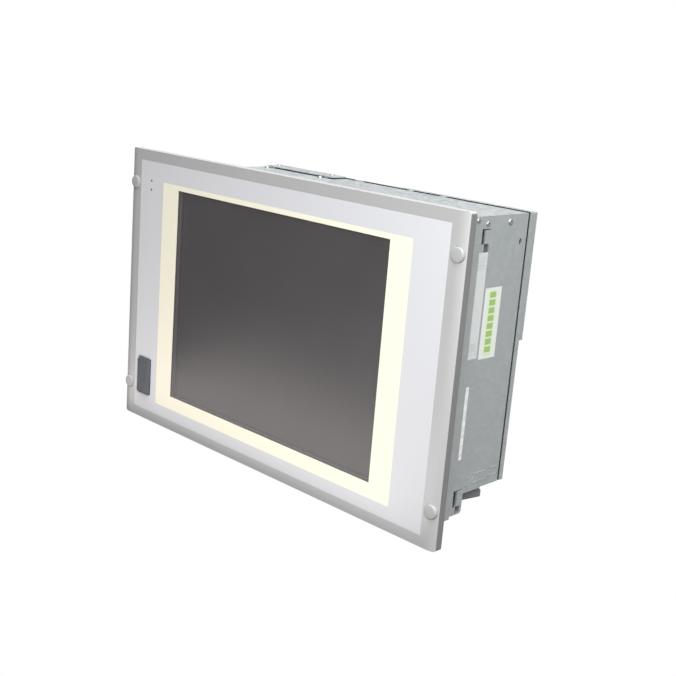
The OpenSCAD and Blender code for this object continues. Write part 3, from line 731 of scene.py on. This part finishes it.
def build_embossing():
    """Low ribs that frame the pressed fields at the foot of the right wall."""
    wall = corners_mm("computer_housing")[1].x
    rib, proud, root = 0.8, 0.35, 0.05
    broken_edge = 0.15
    fields = ((75.5, 98, -116.5, -107), (101, 115, -115, -106), (66, 72, -118, -109))
    bm = bmesh.new()
    for y0, y1, z0, z1 in fields:
        for a, b, c, d in ((y0, y1, z0, z0 + rib), (y0, y1, z1 - rib, z1),
                           (y0, y0 + rib, z0, z1), (y1 - rib, y1, z0, z1)):
            add_box(bm, (wall - root, a, c), (wall + proud, b, d), broken_edge)
    new_piece("pressed_fields", bm, FINISHES["galvanised_steel"], "panel")


def build_contacts():
    """Contact pins and tongues in the connectors, in gold. Places are the connectors' middles."""
    bm = bmesh.new()
    serial_x, serial_y = 106, 76.1
    pin_pitch, half_row, pin_r, pin_length, pin_point = 2.76, 1.4, 0.5, 5.0, 0.4
    pin_root = corners_mm("serial_port")[0].z + 6.2
    pin = [(0, 0), (pin_r, 0), (pin_r, pin_length - pin_point), (pin_r / 2, pin_length),
           (0, pin_length)]
    for row, count in ((-half_row, 5), (half_row, 4)):
        for i in range(count):
            x = serial_x + (i - (count - 1) / 2) * pin_pitch
            add_turned(bm, pin, (x, serial_y + row, pin_root), (0, 0, -1), 12)
    wire_pitch, half_wire = 1.02, 0.15
    rim = corners_mm("network_jacks")[0].z
    for middle in (46, 66):
        for i in range(8):
            x = middle + (i - 3.5) * wire_pitch
            add_box(bm, (x - half_wire, 71.5, rim + 2), (x + half_wire, 72.3, rim + 12.5))
    leaf_pitch, half_leaf = 2.2, 0.5
    rim = corners_mm("usb_stacks")[0].z
    for middle in (-82, -52):
        for tongue_y in (74, 81.8):
            for i in range(4):
                x = middle + (i - 1.5) * leaf_pitch
                add_box(bm, (x - half_leaf, tongue_y + 0.3, rim + 1.6),
                        (x + half_leaf, tongue_y + 0.45, rim + 9))
    new_piece("connector_contacts", bm, GOLD, "panel")


def build_all():
    """Dresses and softens the CAD nodes, then adds the mesh pieces."""
    slots = {s["node"]: s["material_slot"] for s in frame["record"]["subparts"]}
    for node in nodes:
        dress(nodes[node], OWN_FINISH.get(node, FINISHES[slots[node]]))
    edges = {
        "bay_cover": 0.8, "slot_cover": 0.2, "clamp_tabs": 0.15,
        "cover_latches": 0.2, "usb_bezel": 0.3, "power_inlet": 0.5, "switch_frame": 0.5,
        "power_rocker": 0.4, "io_plate": 0.1, "display_port": 0.3, "network_jacks": 0.25,
        "serial_port": 0.25, "usb_stacks": 0.25, "front_usb_socket": 0.2, "reset_button": 0.2,
        "fan_frame": 0.5, "fan_rotor": 0.2, "slot_plates": 0.15, "earth_stud": 0.3,
        "inlet_pins": 0.3, "processor_heatsink": 0.15, "power_supply": 0.5, "panel_seal": 0.2,
        "led_lenses": 0.15,
    }
    for node, width in edges.items():
        soften(node, width)
    build_screws()
    build_caps()
    build_port_cover()
    build_display()
    build_embossing()
    build_contacts()


# ---------------------------------------------------------------- light, floor and camera

def softbox(name, place, target, size, power):
    """Rectangular lamp at a place, turned to face a target."""
    lamp = bpy.data.lights.new(name, "AREA")
    lamp.shape = "RECTANGLE"
    lamp.size, lamp.size_y = size
    lamp.energy = power
    obj = bpy.data.objects.new(name, lamp)
    bpy.context.scene.collection.objects.link(obj)
    obj.location = place
    facing = Vector(target) - obj.location
    obj.rotation_euler = facing.to_track_quat("-Z", "Y").to_euler()


def build_world():
    """White for the camera; for all else a room bright above and at the right, dark at the left."""
    world = bpy.data.worlds.new("studio")
    bpy.context.scene.world = world
    world.use_nodes = True
    tree = world.node_tree
    tree.nodes.clear()
    out = tree.nodes.new("ShaderNodeOutputWorld")
    mix = tree.nodes.new("ShaderNodeMixShader")
    path = tree.nodes.new("ShaderNodeLightPath")
    seen = tree.nodes.new("ShaderNodeBackground")
    seen.inputs["Color"].default_value = (1, 1, 1, 1)
    room = tree.nodes.new("ShaderNodeBackground")
    coords = tree.nodes.new("ShaderNodeTexCoord")
    dot = tree.nodes.new("ShaderNodeVectorMath")
    dot.operation = "DOT_PRODUCT"
    dot.inputs[1].default_value = Vector(ROOM_LIGHT_FROM).normalized()
    ramp = tree.nodes.new("ShaderNodeMapRange")
    ramp.interpolation_type = "SMOOTHSTEP"
    ramp.inputs["From Min"].default_value = ROOM_FADE[0]
    ramp.inputs["From Max"].default_value = ROOM_FADE[1]
    ramp.inputs["To Min"].default_value = ROOM_DARK
    ramp.inputs["To Max"].default_value = ROOM_BRIGHT
    tree.links.new(coords.outputs["Generated"], dot.inputs[0])
    tree.links.new(dot.outputs["Value"], ramp.inputs["Value"])
    tree.links.new(ramp.outputs["Result"], room.inputs["Strength"])
    tree.links.new(path.outputs["Is Camera Ray"], mix.inputs["Fac"])
    tree.links.new(room.outputs["Background"], mix.inputs[1])
    tree.links.new(seen.outputs["Background"], mix.inputs[2])
    tree.links.new(mix.outputs["Shader"], out.inputs["Surface"])


def build_sky_light():
    """Wide soft light from straight above."""
    lamp = bpy.data.lights.new("overhead", "SUN")
    lamp.energy = SUN_POWER
    lamp.angle = math.radians(60)
    obj = bpy.data.objects.new("overhead", lamp)
    bpy.context.scene.collection.objects.link(obj)
    obj.location = (0, 0, 2)


def build_floor():
    """Pale glowing patch of table in front of the object, which the screen's lower part mirrors."""
    x0, x1 = FLOOR_X
    y0, y1 = FLOOR_Y
    gap = 0.5 * MM
    middle = ((x0 + x1) / 2, (y0 + y1) / 2, cad_low.z - gap)
    bpy.ops.mesh.primitive_plane_add(size=1, location=middle)
    floor = bpy.context.object
    floor.name = "floor"
    floor.scale = (x1 - x0, y1 - y0, 1)
    f = Finish("pale_floor", roughness=0.9, specular=0.1)
    f.colour(f.blend(f.spread(f.noise(3, 2), 0, 1), (0.14, 0.14, 0.14), (0.16, 0.16, 0.16)))
    f.shader.inputs["Emission Color"].default_value = (*WARM_WHITE, 1)
    f.shader.inputs["Emission Strength"].default_value = 1
    floor.data.materials.append(f.material)


def build_camera():
    """Camera at the front right, a little above the object."""
    data = bpy.data.cameras.new("camera")
    data.sensor_width = SENSOR_WIDTH
    data.lens = LENS
    data.clip_end = 100
    camera = bpy.data.objects.new("camera", data)
    bpy.context.scene.collection.objects.link(camera)
    turn = Matrix.Rotation(math.radians(CAMERA_TURN), 4, "Z")
    tilt = Matrix.Rotation(math.radians(CAMERA_TILT), 4, "X")
    roll = Matrix.Rotation(math.radians(CAMERA_ROLL), 4, "Z")
    camera.matrix_world = Matrix.Translation(CAMERA_PLACE) @ turn @ tilt @ roll
    bpy.context.scene.camera = camera


build_all()
build_camera()
build_world()
build_floor()
softbox("key", place=(0.64, -0.54, 0.44), target=(0.15, 0, 0.02), size=(0.4, 0.5),
        power=KEY_POWER)
softbox("rear_fill", place=(-0.15, 1.0, -0.12), target=(0, 0.1, -0.05), size=(0.8, 0.4),
        power=REAR_POWER)
softbox("under_fill", place=(0, 0.25, -0.9), target=(0, 0.05, 0), size=(0.6, 0.4),
        power=UNDER_POWER)
build_sky_light()
bpy.context.scene.view_settings.view_transform = "Standard"
